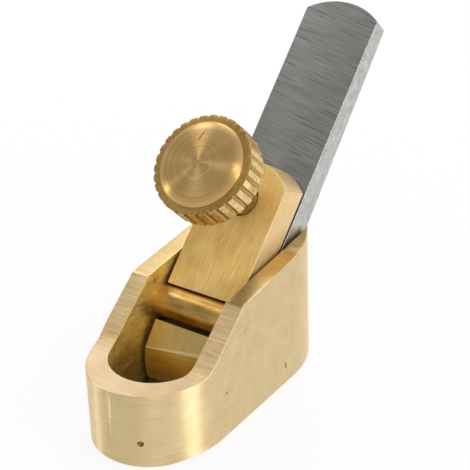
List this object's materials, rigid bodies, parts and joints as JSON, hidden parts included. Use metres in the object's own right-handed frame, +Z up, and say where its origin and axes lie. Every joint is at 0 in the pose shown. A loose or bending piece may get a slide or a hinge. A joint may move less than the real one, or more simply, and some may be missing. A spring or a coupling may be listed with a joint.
{
  "type": "finger plane",
  "caption": "Small brass finger plane with a tapered steel blade, a lever cap under a crossbar and a fluted thumbscrew.",
  "frame": {"origin": "on the sole, on the centre line, midway between the nose tip and the rear tip", "axes": "+Z up from the sole, -Y towards the nose, X across the two sides"},
  "size_m": [0.0158, 0.0514, 0.0383],
  "materials": {
    "brass_body": "satin, brushed along its sides",
    "brass_bar": "polished, slightly pitted",
    "steel_blade": "ground across its width",
    "brass_cap": "brushed along its length",
    "brass_stud": "threaded",
    "brass_knob": "turned"
  },
  "bodies": {
    "frame": {"body": "brass_body", "crossbar": "brass_bar"},
    "iron": {"blade": "steel_blade"},
    "cap": {"lever_cap": "brass_cap"},
    "stud": {"screw_stud": "brass_stud"},
    "knob": {"thumb_knob": "brass_knob"}
  },
  "joints": [
    {"name": "blade_setting", "type": "slide", "parent": "frame", "child": "iron", "axis": [0, 0.6871, 0.7266], "range_m": [-0.001, 0.004]},
    {"name": "cap_pivot", "type": "hinge", "parent": "frame", "child": "cap", "pos_m": [0, -0.0012, 0.011], "axis": [-1, 0, 0], "range_deg": [0, 0.8]},
    {"name": "screw_travel", "type": "slide", "parent": "cap", "child": "stud", "axis": [0, -0.7009, 0.7133], "range_m": [0, 0.0035]},
    {"name": "knob_turn", "type": "hinge", "parent": "stud", "child": "knob", "pos_m": [0, 0.01138, 0.01831], "axis": [0, -0.7009, 0.7133], "range_deg": [0, 1800]}
  ],
  "couplings": [
    {"joint": "knob_turn", "follows": "screw_travel", "rad_per_m": 8975.9},
    {"joint": "cap_pivot", "follows": "screw_travel", "rad_per_m": 3.989}
  ]
}
